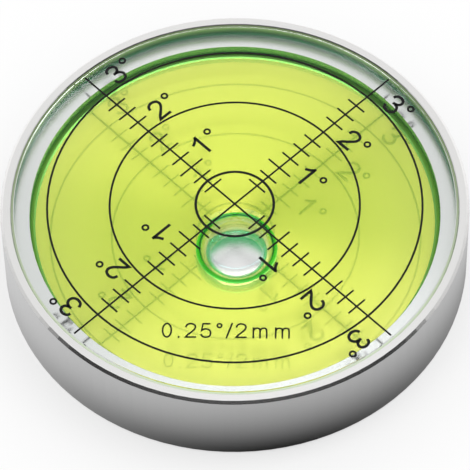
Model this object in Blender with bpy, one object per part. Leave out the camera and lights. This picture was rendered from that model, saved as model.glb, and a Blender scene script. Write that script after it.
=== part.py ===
"""Bullseye level: a turned aluminium case of fluid, closed by a clear domed lens with a printed dial.

The origin is the middle of the base, +Z is up, and all lengths are in metres.
"""

import math

import bmesh
import bpy

# Case
CASE_DIAMETER = 0.060
CASE_HEIGHT = 0.012
RIM_WIDTH = 0.00135
RIM_CHAMFER = 0.00035
BASE_CHAMFER = 0.00035
BORE_EDGE_BREAK = 0.0001
SEAT_OVERLAP = 0.002  # how far the lens reaches over its seat
CHAMBER_DEPTH = 0.00275  # from the seat down to the chamber's floor
CHAMBER_FILLET = 0.00068

# Lens
LENS_CLEARANCE = 0.0003  # between the lens and the bore
LENS_RECESS = 0.00005  # from the rim down to the lens
LENS_EDGE_THICKNESS = 0.00295
LENS_EDGE_CHAMFER = 0.0001

# Fluid and bubble
FLUID_CLEARANCE = 0.0003  # between the fluid and what holds it
BUBBLE_DIAMETER = 0.0109
BUBBLE_EDGE_WIDTH = 0.00105  # how far the bubble's rounded edge bulges beyond its flat top
BUBBLE_OFFSET = 0.0053  # from the middle of the dial to the middle of the bubble
BUBBLE_BEARING = math.radians(-88.6)

# Dial
CIRCLE_SPACING = 0.008  # between the circles, which the bubble crosses for each degree of tilt
BUBBLE_CIRCLE_RADIUS = 0.005
BUBBLE_CIRCLE_LINE = 0.00034
DEGREE_CIRCLE_LINE = 0.00027
ARM_LINE = 0.00024
TICK_LINE = 0.00024
TICK_LENGTH = 0.0029
LONG_TICK_LENGTH = 0.0039
TICKS_PER_DEGREE = 4
ARM_MARGIN = 0.0002  # from the end of an arm to the flat top's edge
DIAL_TURN = math.radians(43.2)  # bearing of the first arm
ARM_COUNT = 4
PRINT_THICKNESS = 0.00005

# Facets
SEGMENTS = 96
SMALL_SEGMENTS = 48
ARC_STEPS = 4
DOME_STEPS = 6
BUBBLE_ARC_STEPS = 8
SMOOTH_ANGLE = math.radians(30)

# Sizes that follow from those above
case_radius = CASE_DIAMETER / 2
bore_radius = case_radius - RIM_WIDTH
lens_radius = bore_radius - LENS_CLEARANCE
chamber_radius = lens_radius - SEAT_OVERLAP
lens_top = CASE_HEIGHT - LENS_RECESS
seat_height = lens_top - LENS_EDGE_THICKNESS
chamber_floor = seat_height - CHAMBER_DEPTH
# A bubble in a dome of this radius climbs by CIRCLE_SPACING when the level tilts by one degree.
dome_radius = CIRCLE_SPACING / math.tan(math.radians(1))
dome_centre = seat_height - math.sqrt(dome_radius**2 - chamber_radius**2)


def dome_height(radius):
    """Height of the lens's underside at a distance from its middle."""
    return dome_centre + math.sqrt(dome_radius**2 - radius**2)


def arc(centre, radius, start, end, steps):
    """Points (r, z) on an arc, from one angle to another, both included."""
    angles = [start + (end - start) * step / steps for step in range(steps + 1)]
    return [(centre[0] + radius * math.cos(a), centre[1] + radius * math.sin(a)) for a in angles]


def dome_profile(outer_radius, drop):
    """Points (r, z) along the dome, lowered by drop, from its outer radius in to the axis."""
    radii = [outer_radius * (1 - step / DOME_STEPS) for step in range(DOME_STEPS + 1)]
    return [(radius, dome_height(radius) - drop) for radius in radii]


def material(name, colour, roughness, metallic=0.0, transmission=0.0, ior=1.5):
    """A Principled material."""
    made = bpy.data.materials.new(name)
    made.use_nodes = True
    made.diffuse_color = (*colour, 1.0)
    shader = made.node_tree.nodes["Principled BSDF"]
    shader.inputs["Base Color"].default_value = (*colour, 1.0)
    shader.inputs["Roughness"].default_value = roughness
    shader.inputs["Metallic"].default_value = metallic
    shader.inputs["Transmission Weight"].default_value = transmission
    shader.inputs["IOR"].default_value = ior
    return made


def add_object(name, bm, look=None):
    """Turns a bmesh into an object of the scene, shaded smooth up to its sharp edges."""
    bmesh.ops.recalc_face_normals(bm, faces=bm.faces)
    mesh = bpy.data.meshes.new(name)
    bm.to_mesh(mesh)
    bm.free()
    mesh.shade_smooth()
    mesh.set_sharp_from_angle(angle=SMOOTH_ANGLE)
    made = bpy.data.objects.new(name, mesh)
    if look:
        mesh.materials.append(look)
    bpy.context.scene.collection.objects.link(made)
    return made


def add_turned(name, profile, look=None, segments=SEGMENTS, closed=False):
    """Spins a profile of (r, z) points about the Z axis."""
    bm = bmesh.new()
    points = [bm.verts.new((radius, 0, height)) for radius, height in profile]
    edges = [bm.edges.new(pair) for pair in zip(points, points[1:])]
    if closed:
        edges.append(bm.edges.new((points[-1], points[0])))
    bmesh.ops.spin(
        bm,
        geom=points + edges,
        axis=(0, 0, 1),
        cent=(0, 0, 0),
        angle=2 * math.pi,
        steps=segments,
    )
    bmesh.ops.remove_doubles(bm, verts=bm.verts, dist=1e-6)
    return add_object(name, bm, look)


def as_cutter(made):
    """Hides a helper object, which only shapes another one."""
    made.hide_render = True
    made.display_type = "WIRE"
    return made


def add_boolean(made, name, operation, other):
    """Adds an exact Boolean with another object, or with a collection of them."""
    modifier = made.modifiers.new(name, "BOOLEAN")
    modifier.operation = operation
    modifier.solver = "EXACT"
    if isinstance(other, bpy.types.Collection):
        modifier.operand_type = "COLLECTION"
        modifier.collection = other
    else:
        modifier.object = other


def make_housing():
    """The case: turned from bar in one piece, with the fluid's chamber, the lens's seat and a flat base."""
    corner = (chamber_radius - CHAMBER_FILLET, chamber_floor + CHAMBER_FILLET)
    profile = [
        (0, 0),
        (case_radius - BASE_CHAMFER, 0),
        (case_radius, BASE_CHAMFER),
        (case_radius, CASE_HEIGHT - RIM_CHAMFER),
        (case_radius - RIM_CHAMFER, CASE_HEIGHT),
        (bore_radius + BORE_EDGE_BREAK, CASE_HEIGHT),
        (bore_radius, CASE_HEIGHT - BORE_EDGE_BREAK),
        (bore_radius, seat_height),
        (chamber_radius, seat_height),
        *arc(corner, CHAMBER_FILLET, 0, -math.pi / 2, ARC_STEPS),
        (0, chamber_floor),
    ]
    return add_turned("housing", profile, material("satin_aluminium", (0.78, 0.78, 0.79), 0.32, metallic=1.0))


def make_lens():
    """The window: flat above and domed below, with a flat ring that is bonded to its seat."""
    profile = [
        (0, lens_top),
        (lens_radius - LENS_EDGE_CHAMFER, lens_top),
        (lens_radius, lens_top - LENS_EDGE_CHAMFER),
        (lens_radius, seat_height),
        *dome_profile(chamber_radius, 0),
    ]
    clear = material("polished_acrylic", (0.97, 0.98, 0.97), 0.02, transmission=1.0, ior=1.49)
    return add_turned("lens", profile, clear)


def make_bubble_cutter():
    """The bubble: a pancake of air between the lens and the floor, with a rounded edge."""
    half_height = (dome_height(BUBBLE_OFFSET) - chamber_floor) / 2
    flat_radius = BUBBLE_DIAMETER / 2 - BUBBLE_EDGE_WIDTH
    turns = [math.pi * (0.5 - step / BUBBLE_ARC_STEPS) for step in range(BUBBLE_ARC_STEPS + 1)]
    edge = [
        (flat_radius + BUBBLE_EDGE_WIDTH * math.cos(a), chamber_floor + half_height * (1 + math.sin(a)))
        for a in turns
    ]
    profile = [(0, chamber_floor + 2 * half_height), *edge, (0, chamber_floor)]
    cutter = as_cutter(add_turned("bubble", profile, segments=SMALL_SEGMENTS))
    cutter.location = (
        BUBBLE_OFFSET * math.cos(BUBBLE_BEARING),
        BUBBLE_OFFSET * math.sin(BUBBLE_BEARING),
        0,
    )
    return cutter


def make_fluid():
    """The sealing fluid, with the bubble as a hole through it."""
    corner = (chamber_radius - CHAMBER_FILLET, chamber_floor + CHAMBER_FILLET)
    fillet = CHAMBER_FILLET - FLUID_CLEARANCE
    wall = chamber_radius - FLUID_CLEARANCE
    profile = [
        (0, chamber_floor + FLUID_CLEARANCE),
        *arc(corner, fillet, -math.pi / 2, 0, ARC_STEPS),
        *dome_profile(wall, FLUID_CLEARANCE),
    ]
    dye = material("yellow_green_fluid", (0.72, 0.93, 0.10), 0.0, transmission=1.0, ior=1.37)
    fluid = add_turned("fluid", profile, dye)
    add_boolean(fluid, "bubble", "DIFFERENCE", make_bubble_cutter())
    return fluid


def add_line(name, near, far, width, bearing):
    """A flat printed bar from near to far, which are (along, across) places, turned to a bearing."""
    bm = bmesh.new()
    bmesh.ops.create_cube(bm, size=1)
    length = math.dist(near, far)
    slant = math.atan2(far[1] - near[1], far[0] - near[0])
    bmesh.ops.scale(bm, vec=(length, width, PRINT_THICKNESS), verts=bm.verts)
    made = add_object(name, bm)
    along = (near[0] + far[0]) / 2
    across = (near[1] + far[1]) / 2
    made.location = (
        along * math.cos(bearing) - across * math.sin(bearing),
        along * math.sin(bearing) + across * math.cos(bearing),
        lens_top + PRINT_THICKNESS / 2,
    )
    made.rotation_euler.z = bearing + slant
    return made


def add_circle(name, radius, width, segments):
    """A flat printed circle on the lens."""
    inner = radius - width / 2
    outer = radius + width / 2
    top = lens_top + PRINT_THICKNESS
    profile = [(outer, top), (outer, lens_top), (inner, lens_top), (inner, top)]
    return add_turned(name, profile, segments=segments, closed=True)


def make_graduation():
    """The printed dial: circles, crossed arms and ticks, joined into one thin solid."""
    degrees = int(chamber_radius / CIRCLE_SPACING)
    arm_end = lens_radius - LENS_EDGE_CHAMFER - ARM_MARGIN
    lines = []
    for degree in range(2, degrees + 1):
        lines.append(add_circle(f"circle_{degree}", degree * CIRCLE_SPACING, DEGREE_CIRCLE_LINE, SEGMENTS))
    for arm in range(ARM_COUNT):
        bearing = DIAL_TURN + arm * 2 * math.pi / ARM_COUNT
        lines.append(add_line(f"arm_{arm}", (0, 0), (arm_end, 0), ARM_LINE, bearing))
        for step in range(2, degrees * TICKS_PER_DEGREE):
            if step % TICKS_PER_DEGREE == 0 and step > TICKS_PER_DEGREE:
                continue  # a circle is there
            reach = LONG_TICK_LENGTH / 2 if step == TICKS_PER_DEGREE else TICK_LENGTH / 2
            along = step * CIRCLE_SPACING / TICKS_PER_DEGREE
            lines.append(add_line(f"tick_{arm}_{step}", (along, -reach), (along, reach), TICK_LINE, bearing))
    group = bpy.data.collections.new("dial_lines")
    bpy.context.scene.collection.children.link(group)
    for line in lines:
        bpy.context.scene.collection.objects.unlink(line)
        group.objects.link(as_cutter(line))
    ink = material("black_print", (0.01, 0.01, 0.01), 0.45)
    dial = add_circle("graduation", BUBBLE_CIRCLE_RADIUS, BUBBLE_CIRCLE_LINE, SMALL_SEGMENTS)
    dial.data.materials.append(ink)
    add_boolean(dial, "lines", "UNION", group)
    return dial


def main():
    for old in list(bpy.data.objects):
        bpy.data.objects.remove(old, do_unlink=True)
    level = bpy.data.objects.new("bullseye_level", None)
    bpy.context.scene.collection.objects.link(level)
    for piece in (make_housing(), make_lens(), make_fluid(), make_graduation()):
        piece.parent = level


main()
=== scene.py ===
"""Bullseye level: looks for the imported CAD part. Lengths are in metres, +Z is up out of the lens."""

import math
from types import SimpleNamespace

import bmesh
import bpy
from mathutils import Matrix, Vector


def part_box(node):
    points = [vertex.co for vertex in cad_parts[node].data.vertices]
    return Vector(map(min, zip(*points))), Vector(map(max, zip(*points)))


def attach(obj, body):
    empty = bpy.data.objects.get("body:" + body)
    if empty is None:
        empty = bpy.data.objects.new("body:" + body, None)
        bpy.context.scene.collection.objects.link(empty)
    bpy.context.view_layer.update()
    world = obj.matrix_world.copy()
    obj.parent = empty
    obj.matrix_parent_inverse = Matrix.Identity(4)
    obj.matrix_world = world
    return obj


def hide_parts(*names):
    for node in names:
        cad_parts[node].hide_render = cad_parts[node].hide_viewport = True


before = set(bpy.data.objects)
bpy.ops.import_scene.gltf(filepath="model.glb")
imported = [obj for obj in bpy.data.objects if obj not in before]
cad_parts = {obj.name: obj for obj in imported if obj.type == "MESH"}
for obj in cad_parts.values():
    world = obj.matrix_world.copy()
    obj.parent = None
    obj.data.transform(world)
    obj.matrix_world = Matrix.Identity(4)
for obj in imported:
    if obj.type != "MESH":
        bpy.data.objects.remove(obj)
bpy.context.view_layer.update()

# Sizes that the frame gives
_, CASE_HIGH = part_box("housing")
LENS_LOW, LENS_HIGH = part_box("lens")
FLUID_LOW, FLUID_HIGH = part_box("fluid")
_, PRINT_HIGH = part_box("graduation")
CASE_RADIUS = CASE_HIGH.x
CASE_TOP = CASE_HIGH.z
LENS_RADIUS = LENS_HIGH.x
LENS_TOP = LENS_HIGH.z
SEAT_HEIGHT = LENS_LOW.z
PRINT_TOP = PRINT_HIGH.z

# Sizes that repeat the CAD's
FLUID_CLEARANCE = 0.0003
RIM_WIDTH = 0.00135
CHAMBER_FILLET = 0.00068
LENS_EDGE_CHAMFER = 0.0001
CIRCLE_SPACING = 0.008
BUBBLE_BEARING = math.radians(-88.6)
DIAL_TURN = math.radians(43.2)
ARM_COUNT = 4

# Glue, from the top of the lens down
GLUE_RECESS = 0.0001
GLUE_MIDDLE_RECESS = 0.00013

# The bubble's edge is rounder and a little smaller than the CAD's
BUBBLE_DIAMETER = 0.0105
BUBBLE_EDGE_WIDTH = 0.00173
BUBBLE_OFFSET = 0.0052

# Printed words
NUMBER_HEIGHT = 0.0031
NUMBER_STROKE = 0.00038
NUMBER_LIFT = 0.00009  # from a circle out to the foot of its number
NUMBER_OFFSET = 0.00209  # from an arm to the start of its numbers
LEGEND_HEIGHT = 0.00226
LEGEND_STROKE = 0.00022
LEGEND_SPREAD = 0.00017  # more room after each of its signs
LEGEND_START = (-0.0091, -0.0204)  # with the arms at 45 degrees
DEGREE_SIGN = "\u00b0"
DEGREE_SIGN_STROKE = 0.00027  # the most that its small circle takes
MITRE_LIMIT = 0.45  # keeps a stroke from running far out of a sharp corner

# Sizes that follow
BORE_RADIUS = CASE_RADIUS - RIM_WIDTH
CHAMBER_RADIUS = FLUID_HIGH.x + FLUID_CLEARANCE
CHAMBER_FLOOR = FLUID_LOW.z - FLUID_CLEARANCE
DOME_RADIUS = CIRCLE_SPACING / math.tan(math.radians(1))
DOME_CENTRE = SEAT_HEIGHT - math.sqrt(DOME_RADIUS**2 - CHAMBER_RADIUS**2)
CONTACT_RADIUS = BUBBLE_DIAMETER / 2 - BUBBLE_EDGE_WIDTH  # where the bubble touches the lens and the floor
BUBBLE_CENTRE = Vector((
    BUBBLE_OFFSET * math.cos(BUBBLE_BEARING),
    BUBBLE_OFFSET * math.sin(BUBBLE_BEARING),
    0,
))

# Facets and gaps
SEGMENTS = 256
DOME_RINGS = 14
FILLET_STEPS = 12
FLOOR_RINGS = 6
FLOOR_RINGS_START = 0.998  # just inside the fillet's last circle
BUBBLE_EDGE_STEPS = 48
SMOOTH_ANGLE = math.radians(30)
WETTED_GAP = 0.00001  # keeps two surfaces in contact from sharing a place
WALL_GAP = 0.00003  # the same beside a wall of flat facets
FLOOR_TOLERANCE = 1e-7
DOME_TOLERANCE = 1e-6

# Acrylic and fluid
ACRYLIC_IOR = 1.49
LENS_GLINT = (0.45, 0.45, 0.45)  # the polished face mirrors less than bare acrylic
FLUID_IOR = 1.44
DYE_COLOUR = (0.974, 0.992, 0.73)  # absorbs blue most
DYE_DENSITY = 1000
BUBBLE_MARK = "bubble"  # face attribute, 1 on the bubble's wall
# Green tint painted on the bubble wall's mirror, for the darker green of light that runs far through the dye
BUBBLE_MIRROR_PAINTED_TINT = (0.16, 1.0, 1.0)
BUBBLE_SHADE = (0.02, 0.50, 0.16)  # tint of soft light that crosses the bubble's wall from its air side
BUBBLE_SHADE_END = (0.91, 0.99)  # heights between which that tint fades out, as shares of the bubble's height

# Turned metal, as (colour, roughness, anisotropy)
RIM_METAL = ((0.92, 0.915, 0.905), 0.22, 0.5)
# The side's darker colour is partly its satin finish and partly painted shade
SIDE_METAL_WITH_PAINTED_SHADE = ((0.55, 0.55, 0.55), 0.34, 0.5)
SEAT_METAL = ((0.82, 0.85, 0.83), 0.17, 0.8)
# The wall's and the fillet's dark greens are painted shade, in the colour of light that runs far through the
# dye
WALL_METAL_PAINTED_SHADE = ((0.19, 0.52, 0.45), 0.25, 0.3)
FILLET_METAL_PAINTED_SHADE = ((0.20, 0.46, 0.41), 0.3, 0.3)
FLOOR_METAL = ((1.0, 0.80, 1.0), 0.27, 0.9)
DRY_METAL = ((0.97, 0.97, 0.97), 0.25, 0.0)  # the floor under the bubble
# A green diffuse part of the chamber's floor: painted light, for the greener light that has run far through
# the fluid
FLOOR_PAINTED_GREEN_LIGHT = (0.48, 1.0, 0.45)
FLOOR_PAINTED_GREEN_LIGHT_SHARE = 0.42
FLOOR_MIRROR = (1.0, 0.80, 0.9)
FLOOR_MIRROR_SHARE = 0.24
TOOL_MARK_PITCH = 0.00006
TOOL_MARK_DEPTH = 0.00002
TOOL_MARK_STRENGTH = 0.12
ZONE_EDGE = 0.00002  # how far a zone of metal reaches past the faces that bound it
SIDE_MARGIN = 0.0003  # from the base and the rim's top to the side's own look
FAR_OFF = 1  # further than any point of the level

# Print and glue
INK_COLOUR = (0.006, 0.006, 0.007)
# Glue colours by depth below the lens's top: painted shade in the narrow gap, with the dye's green in its
# light
GLUE_PAINTED_SHADE_RAMP_DEPTH = 0.003
GLUE_PAINTED_SHADE_RAMP = (
    (0.0, (0.04, 0.055, 0.015)),
    (0.1, (0.38, 0.52, 0.28)),
    (0.25, (0.30, 0.50, 0.20)),
    (0.4, (0.13, 0.30, 0.07)),
    (0.7, (0.01, 0.13, 0.03)),
    (1.0, (0.03, 0.26, 0.10)),
)
# Painted light: the glue's top is paler in front, where more light falls than under the rim at the back
GLUE_PAINTED_FRONT_LIGHT = (0.62, 0.70, 0.54)
GLUE_PAINTED_FRONT_LIGHT_FADE = (-1.0, 0.6)  # as the bearing's share towards the back
GLUE_TOP_FADE = (0.03, 0.10)  # as shares of GLUE_PAINTED_SHADE_RAMP_DEPTH

# Stage floor
STAGE_HALF_WIDTH = 3.0
STAGE_DROP = 0.00002  # keeps the floor from sharing a place with the base
STAGE_COLOUR = (0.88, 0.88, 0.88)
STAGE_WHITE_FROM = 0.6  # share of plain white in the floor beside the case
STAGE_WHITE_RADIUS = 0.055  # where the floor is all white
PAINTED_FOOT_SHADOW = 0.011  # width of the painted contact shadow beside the case, which only metal and glass mirror
PAINTED_FOOT_SHADOW_BEARING = 0.15  # x over distance where that painted shadow is darkest
PAINTED_FOOT_SHADOW_LIFT = 0.6  # how much lighter that painted shadow gets to both sides

# Studio light
SOFT_LIGHT = 1.08  # the world's strength for surfaces that scatter light
BAND_SHIFT = 0.12  # how far the white band lies towards +X, as a share of a unit direction
BAND_EDGE = 0.2
SIDE_EDGE = 0.85
SIDE_LIGHT = 0.8
ROOM_FRONT = (-0.30, -0.05)  # y of the directions between which the dark room fades out
ROOM_TOP = (0.62, 0.78)  # z of the directions between which it fades out
ROOM_LIGHT = 0.02
LAMP_PLACE = (0.073, 0.077, 0.9)
LAMP_SIZE = (0.9, 0.225)
LAMP_TURN = math.radians(15)
LAMP_POWER = 2.45

# Camera, fitted to the photo's outline and circles
PHOTO_WIDTH = 470  # pixels
FOCAL_LENGTH = 4203.5  # pixels
CAMERA_DISTANCE = 0.5473
CAMERA_ELEVATION = math.radians(56.180)
CAMERA_YAW = math.radians(-0.005)
CAMERA_PITCH = math.radians(-0.286)
CAMERA_ROLL = math.radians(1.194)
SENSOR_WIDTH = 36  # millimetres
CLIP_START = 0.01
CLIP_END = 20


def dome_height(distance):
    """Height of the lens's underside at a distance from the axis."""
    return DOME_CENTRE + math.sqrt(DOME_RADIUS**2 - distance**2)


def spaced(start, end, steps):
    """Numbers from start to end, both included."""
    return [start + (end - start) * step / steps for step in range(steps + 1)]


def add_rings(name, rings, looks, closed=False):
    """A mesh lofted through circles of (share, radius, height, slot). Share moves a circle's centre from the
    axis to the bubble's middle, height is a number or a function of the distance from the axis, and slot is
    the material of the faces that lead to the next circle."""
    bm = bmesh.new()
    loops = []
    for share, radius, height, _ in rings:
        centre = BUBBLE_CENTRE * share
        points = []
        for step in range(SEGMENTS if radius > 0 else 1):
            turn = step * 2 * math.pi / SEGMENTS
            place = centre + Vector((radius * math.cos(turn), radius * math.sin(turn), 0))
            place.z = height(place.xy.length) if callable(height) else height
            points.append(bm.verts.new(place))
        loops.append(points)
    pairs = list(zip(loops, loops[1:], [ring[3] for ring in rings]))
    if closed:
        pairs.append((loops[-1], loops[0], rings[-1][3]))
    for one, other, slot in pairs:
        for step in range(SEGMENTS):
            after = (step + 1) % SEGMENTS
            if len(one) == 1:
                face = bm.faces.new((one[0], other[step], other[after]))
            elif len(other) == 1:
                face = bm.faces.new((one[step], one[after], other[0]))
            else:
                face = bm.faces.new((one[step], one[after], other[after], other[step]))
            face.material_index = slot
            face.smooth = True
    bmesh.ops.recalc_face_normals(bm, faces=bm.faces)
    mesh = bpy.data.meshes.new(name)
    bm.to_mesh(mesh)
    bm.free()
    mesh.set_sharp_from_angle(angle=SMOOTH_ANGLE)
    for look in looks:
        mesh.materials.append(look)
    made = bpy.data.objects.new(name, mesh)
    bpy.context.scene.collection.objects.link(made)
    return made


def new_material(name):
    """An empty node material, as (material, nodes, links, output)."""
    made = bpy.data.materials.new(name)
    made.use_nodes = True
    nodes, links = made.node_tree.nodes, made.node_tree.links
    nodes.clear()
    out = nodes.new("ShaderNodeOutputMaterial")
    return made, nodes, links, out


def feed(links, value, socket):
    """Links another socket to this one, or sets it to a constant."""
    if isinstance(value, bpy.types.NodeSocket):
        links.new(value, socket)
    else:
        socket.default_value = value


def maths(nodes, links, operation, a, b):
    """A Math node on two values, each a socket or a number."""
    node = nodes.new("ShaderNodeMath")
    node.operation = operation
    feed(links, a, node.inputs[0])
    feed(links, b, node.inputs[1])
    return node.outputs[0]


def smooth_step(nodes, links, value, low, high, at_low=0.0, at_high=1.0):
    """A soft change from at_low to at_high as value goes from low to high."""
    node = nodes.new("ShaderNodeMapRange")
    node.interpolation_type = "SMOOTHSTEP"
    links.new(value, node.inputs["Value"])
    for socket, number in (("From Min", low), ("From Max", high), ("To Min", at_low), ("To Max", at_high)):
        node.inputs[socket].default_value = number
    return node.outputs["Result"]


def mix_shaders(nodes, links, share, one, other):
    """A mix of two shader nodes: all of the first at a share of 0, and all of the other at 1."""
    mix = nodes.new("ShaderNodeMixShader")
    feed(links, share, mix.inputs[0])
    links.new(one.outputs[0], mix.inputs[1])
    links.new(other.outputs[0], mix.inputs[2])
    return mix


def mix_colours(nodes, links, share, one, other):
    """The same for two colours, each a socket or four numbers."""
    mix = nodes.new("ShaderNodeMix")
    mix.data_type = "RGBA"
    links.new(share, mix.inputs["Factor"])
    feed(links, one, mix.inputs["A"])
    feed(links, other, mix.inputs["B"])
    return mix.outputs["Result"]


def place_of(nodes, links):
    """Sockets of the shaded point in the row frame: vector, x, y, height and distance from the axis."""
    vector = nodes.new("ShaderNodeTexCoord").outputs["Object"]
    split = nodes.new("ShaderNodeSeparateXYZ")
    links.new(vector, split.inputs[0])
    x, y, height = split.outputs
    x_square = maths(nodes, links, "MULTIPLY", x, x)
    y_square = maths(nodes, links, "MULTIPLY", y, y)
    distance = maths(nodes, links, "SQRT", maths(nodes, links, "ADD", x_square, y_square), 0.0)
    return SimpleNamespace(vector=vector, x=x, y=y, height=height, distance=distance)


def lamp_light(nodes, links):
    """1 for a ray that carries soft light between a surface and the lamps, which goes straight through clear
    things."""
    path = nodes.new("ShaderNodeLightPath")
    soft = maths(nodes, links, "SUBTRACT", path.outputs["Is Glossy Ray"], path.outputs["Is Singular Ray"])
    either = maths(nodes, links, "MAXIMUM", path.outputs["Is Shadow Ray"], path.outputs["Is Diffuse Ray"])
    return maths(nodes, links, "MAXIMUM", either, soft)


def make_acrylic():
    """Clear polished acrylic, where it meets air."""
    made, nodes, links, out = new_material("polished_acrylic")
    glass = nodes.new("ShaderNodeBsdfPrincipled")
    glass.inputs["Base Color"].default_value = (1, 1, 1, 1)
    glass.inputs["Transmission Weight"].default_value = 1
    glass.inputs["Roughness"].default_value = 0
    glass.inputs["IOR"].default_value = ACRYLIC_IOR
    glass.inputs["Specular Tint"].default_value = (*LENS_GLINT, 1)
    open_way = nodes.new("ShaderNodeBsdfTransparent")
    surface = mix_shaders(nodes, links, lamp_light(nodes, links), glass, open_way)
    links.new(surface.outputs[0], out.inputs["Surface"])
    return made


def make_wetted_acrylic():
    """A face of the lens that fluid or glue wets, which can't be seen."""
    made, nodes, links, out = new_material("bonded_acrylic")
    open_way = nodes.new("ShaderNodeBsdfTransparent")
    links.new(open_way.outputs[0], out.inputs["Surface"])
    return made


def make_fluid_look():
    """Yellow-green fluid. Against the plastic it bends light a little, and at the bubble much more. The
    bubble's wall mirrors with a painted green tint that stands in for the fluid's green depth, and lets
    little light in from the side."""
    made, nodes, links, out = new_material("sealing_fluid")
    mark = nodes.new("ShaderNodeAttribute")
    mark.attribute_name = BUBBLE_MARK
    at_bubble = mark.outputs["Fac"]
    glass = nodes.new("ShaderNodeBsdfPrincipled")
    glass.inputs["Base Color"].default_value = (1, 1, 1, 1)
    glass.inputs["Transmission Weight"].default_value = 1
    glass.inputs["Roughness"].default_value = 0
    ior = maths(nodes, links, "MULTIPLY_ADD", at_bubble, FLUID_IOR - FLUID_IOR / ACRYLIC_IOR)
    ior.node.inputs[2].default_value = FLUID_IOR / ACRYLIC_IOR
    links.new(ior, glass.inputs["IOR"])

    mirror = nodes.new("ShaderNodeBsdfPrincipled")
    mirror.inputs["Base Color"].default_value = (*BUBBLE_MIRROR_PAINTED_TINT, 1)
    mirror.inputs["Metallic"].default_value = 1
    mirror.inputs["Roughness"].default_value = 0
    gloss = nodes.new("ShaderNodeFresnel")
    gloss.inputs["IOR"].default_value = FLUID_IOR
    mirrored = maths(nodes, links, "MULTIPLY", at_bubble, gloss.outputs[0])
    wall = mix_shaders(nodes, links, mirrored, glass, mirror)

    from_fluid = nodes.new("ShaderNodeNewGeometry").outputs["Backfacing"]
    from_air = maths(nodes, links, "SUBTRACT", 1.0, from_fluid)
    depth = dome_height(BUBBLE_OFFSET) - CHAMBER_FLOOR
    low, high = (CHAMBER_FLOOR + share * depth for share in BUBBLE_SHADE_END)
    below_top = smooth_step(nodes, links, place_of(nodes, links).height, low, high, 1.0, 0.0)
    steep = maths(nodes, links, "MULTIPLY", from_air, below_top)
    shaded = maths(nodes, links, "MULTIPLY", at_bubble, steep)
    open_way = nodes.new("ShaderNodeBsdfTransparent")
    side_light = mix_colours(nodes, links, shaded, (1, 1, 1, 1), (*BUBBLE_SHADE, 1))
    links.new(side_light, open_way.inputs["Color"])
    surface = mix_shaders(nodes, links, lamp_light(nodes, links), wall, open_way)
    links.new(surface.outputs[0], out.inputs["Surface"])

    dye = nodes.new("ShaderNodeVolumeAbsorption")
    dye.inputs["Color"].default_value = (*DYE_COLOUR, 1)
    dye.inputs["Density"].default_value = DYE_DENSITY
    links.new(dye.outputs[0], out.inputs["Volume"])
    return made


def ring_lines(nodes, links, at, pitch):
    """Noise that changes only with distance from the axis and with height, as a lathe tool leaves it."""
    lay = nodes.new("ShaderNodeCombineXYZ")
    links.new(maths(nodes, links, "MULTIPLY", at.distance, 1 / pitch), lay.inputs[0])
    links.new(maths(nodes, links, "MULTIPLY", at.height, 1 / pitch), lay.inputs[1])
    noise = nodes.new("ShaderNodeTexNoise")
    noise.inputs["Scale"].default_value = 1
    noise.inputs["Detail"].default_value = 2
    links.new(lay.outputs[0], noise.inputs["Vector"])
    return noise.outputs["Fac"]


def turned_metal(nodes, links, colour, roughness, anisotropy, normal):
    """Bare aluminium whose tool marks run round the axis."""
    metal = nodes.new("ShaderNodeBsdfPrincipled")
    metal.inputs["Base Color"].default_value = (*colour, 1)
    metal.inputs["Metallic"].default_value = 1
    metal.inputs["Roughness"].default_value = roughness
    metal.inputs["Anisotropic"].default_value = anisotropy
    metal.inputs["Anisotropic Rotation"].default_value = 0.25  # a quarter turn, so across the tangent
    tangent = nodes.new("ShaderNodeTangent")
    tangent.direction_type = "RADIAL"
    tangent.axis = "Z"
    links.new(tangent.outputs[0], metal.inputs["Tangent"])
    links.new(normal, metal.inputs["Normal"])
    return metal


def chamber_floor_metal(nodes, links, normal):
    """The chamber's floor: turned cuts, painted green light, and a plain mirror that shows the print once
    more.
    """
    cuts = turned_metal(nodes, links, *FLOOR_METAL, normal)
    painted_green_light = nodes.new("ShaderNodeBsdfDiffuse")
    painted_green_light.inputs["Color"].default_value = (*FLOOR_PAINTED_GREEN_LIGHT, 1)
    brushed = mix_shaders(nodes, links, FLOOR_PAINTED_GREEN_LIGHT_SHARE, cuts, painted_green_light)
    mirror = nodes.new("ShaderNodeBsdfPrincipled")
    mirror.inputs["Base Color"].default_value = (*FLOOR_MIRROR, 1)
    mirror.inputs["Metallic"].default_value = 1
    mirror.inputs["Roughness"].default_value = 0
    return mix_shaders(nodes, links, FLOOR_MIRROR_SHARE, brushed, mirror)


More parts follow.
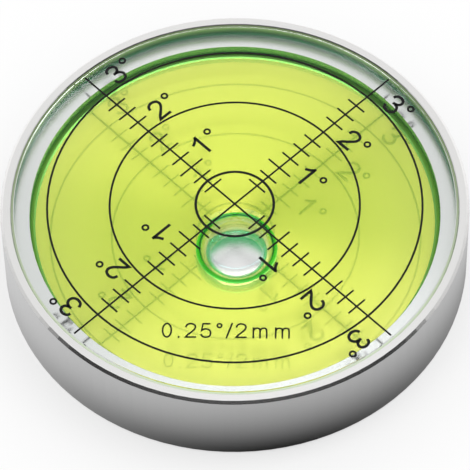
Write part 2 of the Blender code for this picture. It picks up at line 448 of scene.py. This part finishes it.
def make_aluminium():
    """Turned aluminium: a bright cut rim, a satin side whose darker colour is partly painted shade, and the
    finer cuts that show through the lens. The chamber's wall and fillet carry painted shade in dark green,
    which deepens the fluid's colour at its edge."""
    made, nodes, links, out = new_material("turned_aluminium")
    at = place_of(nodes, links)
    bump = nodes.new("ShaderNodeBump")
    bump.inputs["Strength"].default_value = TOOL_MARK_STRENGTH
    bump.inputs["Distance"].default_value = TOOL_MARK_DEPTH
    links.new(ring_lines(nodes, links, at, TOOL_MARK_PITCH), bump.inputs["Height"])
    normal = bump.outputs[0]

    def zone(low_distance, high_distance, low_height, high_height):
        """1 where the metal lies between two distances from the axis and between two heights."""
        inside = 1.0
        for value, low, high in (
            (at.distance, low_distance, high_distance),
            (at.height, low_height, high_height),
        ):
            above = maths(nodes, links, "GREATER_THAN", value, low)
            below = maths(nodes, links, "LESS_THAN", value, high)
            inside = maths(nodes, links, "MULTIPLY", maths(nodes, links, "MULTIPLY", above, below), inside)
        return inside

    from_bubble = nodes.new("ShaderNodeVectorMath")
    from_bubble.operation = "DISTANCE"
    links.new(at.vector, from_bubble.inputs[0])
    from_bubble.inputs[1].default_value = (BUBBLE_CENTRE.x, BUBBLE_CENTRE.y, CHAMBER_FLOOR)
    under_bubble = maths(nodes, links, "LESS_THAN", from_bubble.outputs["Value"], CONTACT_RADIUS)

    side = zone(CASE_RADIUS - ZONE_EDGE, FAR_OFF, SIDE_MARGIN, CASE_TOP - SIDE_MARGIN)
    seat = zone(-FAR_OFF, LENS_RADIUS + ZONE_EDGE, SEAT_HEIGHT - ZONE_EDGE, SEAT_HEIGHT + ZONE_EDGE)
    within_wall = (-FAR_OFF, CHAMBER_RADIUS + ZONE_EDGE, CHAMBER_FLOOR - ZONE_EDGE)
    wall = zone(*within_wall, SEAT_HEIGHT - ZONE_EDGE)
    fillet = zone(*within_wall, CHAMBER_FLOOR + CHAMBER_FILLET)
    floor_radius = CHAMBER_RADIUS - CHAMBER_FILLET
    floor = zone(-FAR_OFF, floor_radius, CHAMBER_FLOOR - ZONE_EDGE, CHAMBER_FLOOR + ZONE_EDGE)

    surface = turned_metal(nodes, links, *RIM_METAL, normal)  # also on the base
    for where, metal in (
        (side, turned_metal(nodes, links, *SIDE_METAL_WITH_PAINTED_SHADE, normal)),
        (seat, turned_metal(nodes, links, *SEAT_METAL, normal)),
        (wall, turned_metal(nodes, links, *WALL_METAL_PAINTED_SHADE, normal)),
        (fillet, turned_metal(nodes, links, *FILLET_METAL_PAINTED_SHADE, normal)),
        (floor, chamber_floor_metal(nodes, links, normal)),
        (under_bubble, turned_metal(nodes, links, *DRY_METAL, normal)),
    ):
        surface = mix_shaders(nodes, links, where, surface, metal)
    links.new(surface.outputs[0], out.inputs["Surface"])
    return made


def make_print():
    """Matt black screen print."""
    made, nodes, links, out = new_material("screen_print")
    ink = nodes.new("ShaderNodeBsdfPrincipled")
    ink.inputs["Base Color"].default_value = (*INK_COLOUR, 1)
    ink.inputs["Roughness"].default_value = 0.6
    ink.inputs["Specular IOR Level"].default_value = 0.2
    links.new(ink.outputs[0], out.inputs["Surface"])
    return made


def make_adhesive():
    """The glue between the lens and the bore, coloured with painted light and shade: dark olive on top as
    painted shade, paler there in front as painted light, and beside the lens a pale green that darkens
    downward as painted shade."""
    made, nodes, links, out = new_material("adhesive")
    at = place_of(nodes, links)
    glue = nodes.new("ShaderNodeBsdfPrincipled")
    glue.inputs["Roughness"].default_value = 0.4
    glue.inputs["Specular IOR Level"].default_value = 0.1
    ramp = nodes.new("ShaderNodeValToRGB")
    below_lens_top = maths(nodes, links, "SUBTRACT", LENS_TOP, at.height)
    depth = maths(nodes, links, "MULTIPLY", below_lens_top, 1 / GLUE_PAINTED_SHADE_RAMP_DEPTH)
    links.new(depth, ramp.inputs[0])
    stops = ramp.color_ramp.elements
    stops[0].position, stops[1].position = GLUE_PAINTED_SHADE_RAMP[0][0], GLUE_PAINTED_SHADE_RAMP[-1][0]
    stops[0].color, stops[1].color = (*GLUE_PAINTED_SHADE_RAMP[0][1], 1), (*GLUE_PAINTED_SHADE_RAMP[-1][1], 1)
    for position, colour in GLUE_PAINTED_SHADE_RAMP[1:-1]:
        stops.new(position).color = (*colour, 1)
    toward_back = maths(nodes, links, "DIVIDE", at.y, at.distance)
    in_front = smooth_step(nodes, links, toward_back, *GLUE_PAINTED_FRONT_LIGHT_FADE, 1.0, 0.0)
    on_top = smooth_step(nodes, links, depth, *GLUE_TOP_FADE, 1.0, 0.0)
    painted_front_light = maths(nodes, links, "MULTIPLY", in_front, on_top)
    colour = mix_colours(nodes, links, painted_front_light, ramp.outputs[0], (*GLUE_PAINTED_FRONT_LIGHT, 1))
    links.new(colour, glue.inputs["Base Color"])
    links.new(glue.outputs[0], out.inputs["Surface"])
    return made


def make_lens():
    """The lens: only its top, its chamfer and the bubble's contact circle meet air."""
    def underside(distance):
        """Height of the lens's own face, a hair above the fluid's."""
        return dome_height(distance) + WETTED_GAP

    rings = [(1, 0, underside, 0), (1, CONTACT_RADIUS / 2, underside, 0)]
    rings += [
        (1 - t, CONTACT_RADIUS + (CHAMBER_RADIUS - CONTACT_RADIUS) * t, underside, 1)
        for t in spaced(0, 1, DOME_RINGS)
    ]
    rings += [
        (0, LENS_RADIUS, SEAT_HEIGHT + WETTED_GAP, 1),
        (0, LENS_RADIUS, LENS_TOP - LENS_EDGE_CHAMFER, 0),
        (0, LENS_RADIUS - LENS_EDGE_CHAMFER, LENS_TOP, 0),
        (0, LENS_RADIUS / 2, LENS_TOP, 0),
        (0, 0, LENS_TOP, 0),
    ]
    lens = add_rings("lens_clear", rings, [make_acrylic(), make_wetted_acrylic()])
    lens.visible_shadow = False
    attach(lens, "root")
    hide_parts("lens")


def make_fluid():
    """The fluid fills the chamber round the bubble, which spans it from the lens to the floor."""
    wall = CHAMBER_RADIUS - WALL_GAP
    bottom = CHAMBER_FLOOR + WETTED_GAP
    fillet = CHAMBER_FILLET - WALL_GAP
    corner = (CHAMBER_RADIUS - CHAMBER_FILLET, CHAMBER_FLOOR + CHAMBER_FILLET)
    rings = [
        (1 - t, CONTACT_RADIUS + (wall - CONTACT_RADIUS) * t, dome_height, 0)
        for t in spaced(0, 1, DOME_RINGS)
    ]
    rings += [
        (0, corner[0] + fillet * math.cos(a), corner[1] - fillet * math.sin(a), 0)
        for a in spaced(0, math.pi / 2, FILLET_STEPS)
    ]
    rings += [
        (1 - t, CONTACT_RADIUS + (corner[0] - CONTACT_RADIUS) * t, bottom, 0)
        for t in spaced(FLOOR_RINGS_START, 0, FLOOR_RINGS)
    ]
    for a in spaced(-math.pi / 2, math.pi / 2, BUBBLE_EDGE_STEPS)[1:-1]:
        share = (1 + math.sin(a)) / 2

        def part_way(distance, share=share):
            """Height at a share of the way from the floor up to the dome."""
            return bottom + (dome_height(distance) - bottom) * share

        rings.append((1, CONTACT_RADIUS + BUBBLE_EDGE_WIDTH * math.cos(a), part_way, 0))
    fluid = add_rings("fluid_body", rings, [make_fluid_look()], closed=True)
    mark = fluid.data.attributes.new(BUBBLE_MARK, "FLOAT", "FACE")
    for face in fluid.data.polygons:
        top = dome_height(face.center.xy.length) - DOME_TOLERANCE
        near = (face.center.xy - BUBBLE_CENTRE.xy).length < BUBBLE_DIAMETER / 2
        between = bottom + FLOOR_TOLERANCE < face.center.z < top
        mark.data[face.index].value = 1.0 if near and between else 0.0
    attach(fluid, "root")
    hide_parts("fluid")


def make_glue_ring():
    """The ring of glue that fills the gap round the lens."""
    inner, outer = LENS_RADIUS + WETTED_GAP, BORE_RADIUS - WALL_GAP
    bottom = SEAT_HEIGHT + WETTED_GAP
    rings = [
        (0, inner, bottom, 0),
        (0, inner, LENS_TOP - GLUE_RECESS, 0),
        (0, (inner + outer) / 2, LENS_TOP - GLUE_MIDDLE_RECESS, 0),
        (0, outer, LENS_TOP - GLUE_RECESS, 0),
        (0, outer, bottom, 0),
    ]
    ring = add_rings("glue_ring", rings, [make_adhesive()], closed=True)
    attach(ring, "root")


def curve_through(points, steps=6):
    """Points on a smooth Catmull-Rom curve through the given ones. Two points give a straight line."""
    if len(points) == 2:
        return [Vector(p) for p in points]
    ends = [Vector(p) for p in points]
    ends = [ends[0] * 2 - ends[1], *ends, ends[-1] * 2 - ends[-2]]
    made = []
    for a, b, c, d in zip(ends, ends[1:], ends[2:], ends[3:]):
        for step in range(steps):
            t = step / steps
            slope = (c - a) * t
            bend = (2 * a - 5 * b + 4 * c - d) * t**2
            twist = (3 * b - a - 3 * c + d) * t**3
            made.append(0.5 * (2 * b + slope + bend + twist))
    return made + [ends[-2]]


def add_stroke(bm, line, width, low, high, closed=False):
    """A flat printed stroke of even width along a line of points."""
    count = len(line)
    corners = ((1, low), (1, high), (-1, high), (-1, low))
    sides = []
    for index, point in enumerate(line):
        before = line[index - 1] if closed or index else None
        after = line[(index + 1) % count] if closed or index < count - 1 else None
        into = (point - before).normalized() if before is not None else None
        out = (after - point).normalized() if after is not None else None
        into, out = into or out, out or into
        along = (into + out).normalized()
        across = Vector((-along.y, along.x)) * (width / 2 / max(along.dot(into), MITRE_LIMIT))
        sides.append([bm.verts.new((*(point + across * sign), level)) for sign, level in corners])
    pairs = list(zip(sides, sides[1:])) + ([(sides[-1], sides[0])] if closed else [])
    for one, other in pairs:
        for k in range(4):
            bm.faces.new((one[k], one[(k + 1) % 4], other[(k + 1) % 4], other[k]))
    if not closed:
        bm.faces.new(sides[0])
        bm.faces.new(sides[-1])


def ellipse(x, y, across, up, steps=32):
    """Points round an ellipse, for a closed stroke."""
    turns = [2 * math.pi * step / steps for step in range(steps)]
    return [Vector((x + across * math.cos(a), y + up * math.sin(a))) for a in turns]


# Open strokes of each sign, as runs that meet in corners. A sign is 1 high, and its cell is centred on x = 0.
SIGNS = {
    "1": [[[(0.07, 0), (0.07, 1)]], [[(0.07, 0.93), (-0.08, 0.79), (-0.27, 0.69)]]],
    "2": [[
        [(-0.27, 0.70), (-0.21, 0.86), (-0.07, 0.94), (0.07, 0.935), (0.21, 0.86), (0.26, 0.72), (0.20, 0.56),
         (0.02, 0.37), (-0.17, 0.20), (-0.27, 0.06)],
        [(-0.27, 0.06), (0.31, 0.06)],
    ]],
    "3": [
        [[(-0.26, 0.74), (-0.19, 0.88), (-0.02, 0.94), (0.15, 0.89), (0.22, 0.76), (0.17, 0.62),
          (0.02, 0.545), (-0.09, 0.54)]],
        [[(0.02, 0.545), (0.19, 0.47), (0.27, 0.30), (0.20, 0.13), (0.01, 0.06), (-0.19, 0.12),
          (-0.28, 0.28)]],
    ],
    "5": [[
        [(0.24, 0.94), (-0.17, 0.94)],
        [(-0.17, 0.94), (-0.25, 0.49)],
        [(-0.25, 0.49), (-0.13, 0.58), (0.02, 0.60), (0.19, 0.52), (0.26, 0.33), (0.19, 0.13), (0.0, 0.055),
         (-0.19, 0.11), (-0.28, 0.26)],
    ]],
    "/": [[[(-0.16, 0), (0.16, 1)]]],
    ".": [[[(0, 0), (0, 0.12)]]],
    "m": [
        [[(-0.37, 0), (-0.37, 0.72)]],
        [[(-0.37, 0.48), (-0.29, 0.63), (-0.15, 0.67), (-0.03, 0.61), (0, 0.46)], [(0, 0.46), (0, 0)]],
        [[(0, 0.48), (0.08, 0.63), (0.22, 0.67), (0.34, 0.61), (0.37, 0.46)], [(0.37, 0.46), (0.37, 0)]],
    ],
}
# Closed strokes: an ellipse's middle height, half width and half height
LOOPS = {"0": (0.5, 0.24, 0.445), DEGREE_SIGN: (0.826, 0.121, 0.121)}
# Widths of the cells, as shares of the sign's height
ADVANCES = {".": 0.39, "/": 0.39, "m": 1.163, DEGREE_SIGN: 0.56}
DIGIT_ADVANCE = 0.776


def add_words(name, words, look, spread=0.0):
    """Printed words as one mesh. Each is (text, start, direction, height, stroke), from its baseline up."""
    low, high = LENS_TOP, PRINT_TOP
    bm = bmesh.new()
    for text, start, direction, height, stroke in words:
        word = bmesh.new()
        pen = 0
        for sign in text:
            advance = ADVANCES.get(sign, DIGIT_ADVANCE)
            middle = Vector((pen + advance / 2, 0))
            for runs in SIGNS.get(sign, []):
                line = []
                for run in runs:
                    points = curve_through(run)
                    line += points[1:] if line else points
                add_stroke(word, [(p + middle) * height for p in line], stroke, low, high)
            if sign in LOOPS:
                up, half_width, half_height = LOOPS[sign]
                thickness = min(stroke, DEGREE_SIGN_STROKE) if sign == DEGREE_SIGN else stroke
                loop = [p * height for p in ellipse(middle.x, up, half_width, half_height)]
                add_stroke(word, loop, thickness, low, high, closed=True)
            pen += advance + spread / height
        place = Matrix.Translation((start[0], start[1], 0)) @ Matrix.Rotation(direction, 4, "Z")
        bmesh.ops.transform(word, matrix=place, verts=word.verts)
        part = bpy.data.meshes.new("word")
        word.to_mesh(part)
        word.free()
        bm.from_mesh(part)
        bpy.data.meshes.remove(part)
    bmesh.ops.recalc_face_normals(bm, faces=bm.faces)
    mesh = bpy.data.meshes.new(name)
    bm.to_mesh(mesh)
    bm.free()
    mesh.materials.append(look)
    made = bpy.data.objects.new(name, mesh)
    bpy.context.scene.collection.objects.link(made)
    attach(made, "root")


def make_words(look):
    """The numbers along the dial's arms, and the line that says what its ticks mean."""
    numbers = []
    for arm in range(ARM_COUNT):
        bearing = DIAL_TURN + arm * 2 * math.pi / ARM_COUNT
        up = Vector((math.cos(bearing), math.sin(bearing)))
        right = Vector((up.y, -up.x))
        for degree in range(1, int(CHAMBER_RADIUS / CIRCLE_SPACING) + 1):
            start = up * (degree * CIRCLE_SPACING + NUMBER_LIFT) + right * NUMBER_OFFSET
            text = f"{degree}{DEGREE_SIGN}"
            numbers.append((text, start, bearing - math.pi / 2, NUMBER_HEIGHT, NUMBER_STROKE))
    add_words("dial_numbers", numbers, look)
    level = DIAL_TURN - math.pi / 4
    start = Matrix.Rotation(level, 2) @ Vector(LEGEND_START)
    legend = (f"0.25{DEGREE_SIGN}/2mm", start, level, LEGEND_HEIGHT, LEGEND_STROKE)
    add_words("dial_legend", [legend], look, LEGEND_SPREAD)


def add_lamp(name, place, width, depth, turn, power):
    """A soft box that points straight down, turned about the vertical."""
    data = bpy.data.lights.new(name, "AREA")
    data.shape = "RECTANGLE"
    data.size, data.size_y = width, depth
    data.energy = power
    lamp = bpy.data.objects.new(name, data)
    lamp.location = place
    lamp.rotation_euler.z = turn
    bpy.context.scene.collection.objects.link(lamp)


def background_rays(nodes, links):
    """1 for a ray that comes straight from the camera, and 1 for one that comes by way of metal or glass."""
    path = nodes.new("ShaderNodeLightPath")
    mirrored, bent = path.outputs["Is Glossy Ray"], path.outputs["Is Transmission Ray"]
    by_way = maths(nodes, links, "MAXIMUM", mirrored, bent)
    return path.outputs["Is Camera Ray"], by_way


def make_floor_look():
    """A pale floor that keeps the level's shadow and turns white further out. Metal and glass mirror it with
    a painted contact shadow beside the case, which darkens the foot of the side."""
    made, nodes, links, out = new_material("pale_floor")
    at = place_of(nodes, links)
    seen, by_way = background_rays(nodes, links)

    foot = smooth_step(nodes, links, at.distance, CASE_RADIUS, CASE_RADIUS + PAINTED_FOOT_SHADOW, 0.0, 1.0)
    bearing = maths(nodes, links, "DIVIDE", at.x, at.distance)
    off_darkest = maths(nodes, links, "SUBTRACT", bearing, PAINTED_FOOT_SHADOW_BEARING)
    square = maths(nodes, links, "MULTIPLY", off_darkest, off_darkest)
    lighter = maths(nodes, links, "MULTIPLY", square, PAINTED_FOOT_SHADOW_LIFT)
    shade = maths(nodes, links, "MINIMUM", maths(nodes, links, "ADD", foot, lighter), 1.0)
    mirrored = maths(nodes, links, "MULTIPLY", by_way, shade)

    pale = nodes.new("ShaderNodeBsdfDiffuse")
    pale.inputs["Color"].default_value = (*STAGE_COLOUR, 1)
    white = nodes.new("ShaderNodeEmission")
    links.new(maths(nodes, links, "ADD", mirrored, seen), white.inputs["Strength"])
    whiter = smooth_step(nodes, links, at.distance, CASE_RADIUS, STAGE_WHITE_RADIUS, STAGE_WHITE_FROM, 1.0)
    share = maths(nodes, links, "MAXIMUM", maths(nodes, links, "MULTIPLY", seen, whiter), by_way)
    surface = mix_shaders(nodes, links, share, pale, white)
    links.new(surface.outputs[0], out.inputs["Surface"])
    return made


def make_floor():
    """The floor of the stage, which the level stands on."""
    half = STAGE_HALF_WIDTH
    mesh = bpy.data.meshes.new("floor")
    corners = [(-half, -half, 0), (half, -half, 0), (half, half, 0), (-half, half, 0)]
    mesh.from_pydata(corners, [], [(0, 1, 2, 3)])
    mesh.materials.append(make_floor_look())
    floor = bpy.data.objects.new("floor", mesh)
    floor.location.z = -STAGE_DROP
    bpy.context.scene.collection.objects.link(floor)


def make_world():
    """Soft studio light from all round. Metal and glass see a white band overhead from front to back, greyer
    sides, and the dark room low down in front."""
    world = bpy.data.worlds.new("studio")
    bpy.context.scene.world = world
    world.use_nodes = True
    nodes, links = world.node_tree.nodes, world.node_tree.links
    nodes.clear()
    out = nodes.new("ShaderNodeOutputWorld")
    back = nodes.new("ShaderNodeBackground")
    way = nodes.new("ShaderNodeSeparateXYZ")
    links.new(nodes.new("ShaderNodeTexCoord").outputs["Generated"], way.inputs[0])
    in_front = smooth_step(nodes, links, way.outputs["Y"], *ROOM_FRONT, 1.0, 0.0)
    low_down = smooth_step(nodes, links, way.outputs["Z"], *ROOM_TOP, 1.0, 0.0)
    dark = maths(nodes, links, "MULTIPLY", in_front, low_down)
    room = smooth_step(nodes, links, dark, 0.0, 1.0, 1.0, ROOM_LIGHT)
    off_band = maths(nodes, links, "SUBTRACT", way.outputs["X"], BAND_SHIFT)
    across = maths(nodes, links, "ABSOLUTE", off_band, 0.0)
    sides = smooth_step(nodes, links, across, BAND_EDGE, SIDE_EDGE, 1.0, SIDE_LIGHT)
    seen, by_way = background_rays(nodes, links)
    studio = maths(nodes, links, "MULTIPLY", by_way, maths(nodes, links, "MULTIPLY", room, sides))
    shown = maths(nodes, links, "MAXIMUM", seen, studio)
    scattered = maths(nodes, links, "SUBTRACT", 1.0, maths(nodes, links, "MAXIMUM", seen, by_way))
    soft = maths(nodes, links, "MULTIPLY", scattered, SOFT_LIGHT)
    links.new(maths(nodes, links, "ADD", soft, shown), back.inputs["Strength"])
    links.new(back.outputs[0], out.inputs["Surface"])


def make_stage():
    """The floor, the light all round and the one lamp."""
    make_floor()
    make_world()
    add_lamp("top_lamp", LAMP_PLACE, *LAMP_SIZE, LAMP_TURN, LAMP_POWER)


def make_camera():
    """The photograph's camera: far off and long, a little tilted."""
    back = Vector((0, -math.cos(CAMERA_ELEVATION), math.sin(CAMERA_ELEVATION)))
    right = Vector((1, 0, 0))
    up = back.cross(right)
    basis = Matrix((right, up, back))
    tilt = Matrix.Rotation(CAMERA_PITCH, 3, "X") @ Matrix.Rotation(CAMERA_YAW, 3, "Y")
    turned = Matrix.Rotation(CAMERA_ROLL, 3, "Z") @ tilt @ basis
    data = bpy.data.cameras.new("camera")
    data.sensor_width = SENSOR_WIDTH
    data.lens = FOCAL_LENGTH / PHOTO_WIDTH * SENSOR_WIDTH
    data.clip_start, data.clip_end = CLIP_START, CLIP_END
    camera = bpy.data.objects.new("camera", data)
    camera.matrix_world = Matrix.Translation(back * CAMERA_DISTANCE) @ turned.transposed().to_4x4()
    bpy.context.scene.collection.objects.link(camera)
    bpy.context.scene.camera = camera


print_look = make_print()
for node, look in (("housing", make_aluminium()), ("graduation", print_look)):
    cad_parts[node].data.materials[0] = look
make_lens()
make_fluid()
make_glue_ring()
make_words(print_look)
make_stage()
make_camera()
bpy.context.scene.view_settings.view_transform = "Standard"
